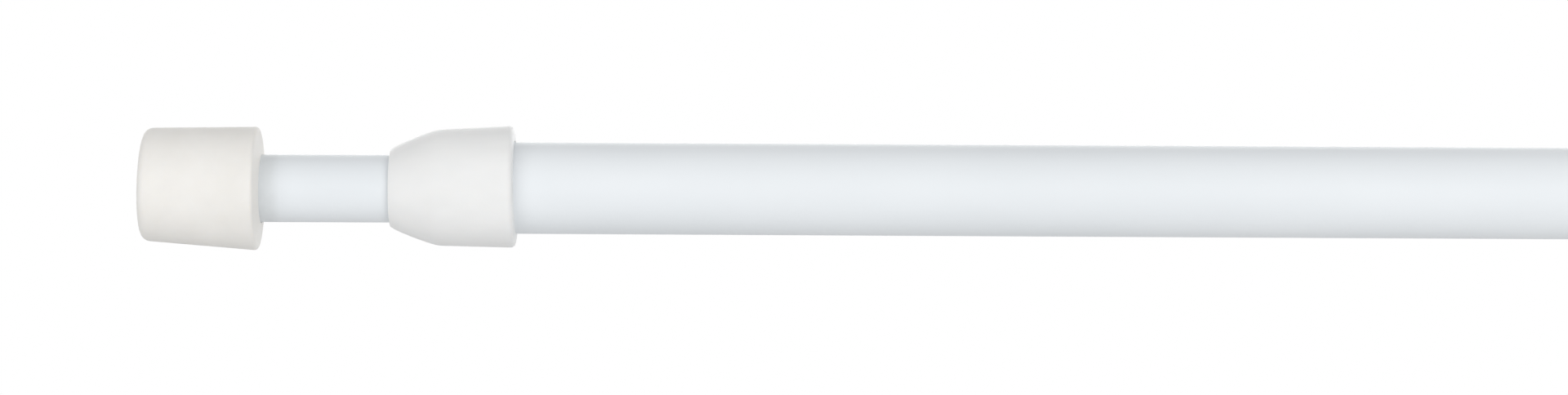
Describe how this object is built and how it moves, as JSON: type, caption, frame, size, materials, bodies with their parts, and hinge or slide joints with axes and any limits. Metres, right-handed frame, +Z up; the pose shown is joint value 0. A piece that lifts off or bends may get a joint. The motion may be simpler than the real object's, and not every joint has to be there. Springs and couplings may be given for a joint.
{
  "type": "telescopic spring tension curtain rod",
  "caption": "White spring-loaded telescopic rod that clamps between two walls on rubber feet and carries a net curtain.",
  "frame": {"origin": "middle of the wall face of the rubber foot on the thick tube", "axes": "+X along the rod, out of the thick tube's foot into its wall; +Z up; the thin tube slides out towards -X"},
  "size_m": [0.3, 0.015, 0.015],
  "materials": {
    "white_lacquer": "satin",
    "white_rubber": "matte",
    "white_plastic": "satin",
    "natural_plastic": "satin",
    "zinc_steel": "satin",
    "spring_steel": "satin",
    "dark_rubber": "matte"
  },
  "bodies": {
    "thick_section": {"outer_tube": "white_lacquer", "collar": "white_plastic", "outer_end_cap": "white_rubber", "outer_end_plug": "natural_plastic"},
    "lock_carriage": {"lock_sleeve": "natural_plastic", "drag_ring": "dark_rubber"},
    "lock_cone": {"lock_wedge": "natural_plastic"},
    "spindle_assembly": {"spindle": "zinc_steel", "thrust_washer": "zinc_steel", "spring": "spring_steel", "retainer_washer": "zinc_steel", "retainer_nut": "zinc_steel", "retaining_clip": "spring_steel", "stop_nut": "zinc_steel"},
    "thin_section": {"inner_tube": "white_lacquer", "inner_end_cap": "white_rubber", "inner_end_plug": "natural_plastic", "guide_bush": "natural_plastic", "spring_plug": "natural_plastic", "spring_seat_washer": "zinc_steel"}
  },
  "joints": [
    {"name": "extension", "type": "slide", "parent": "thick_section", "child": "lock_carriage", "axis": [-1, 0, 0], "range_m": [0, 0.1518]},
    {"name": "twist_lock", "type": "hinge", "parent": "lock_carriage", "child": "spindle_assembly", "pos_m": [-0.034, 0, 0], "axis": [1, 0, 0], "range_deg": [0, 270]},
    {"name": "wedge_travel", "type": "slide", "parent": "lock_carriage", "child": "lock_cone", "axis": [-1, 0, 0], "range_m": [0, 0.0017]},
    {"name": "spring_stroke", "type": "slide", "parent": "spindle_assembly", "child": "thin_section", "axis": [-1, 0, 0], "range_m": [-0.0157, 0], "stiffness_N_per_m": 2130, "springref_m": 0.003, "deforming": ["spring"]}
  ],
  "couplings": [
    {"joint": "wedge_travel", "follows": "twist_lock", "m_per_rad": 0.00031831}
  ]
}
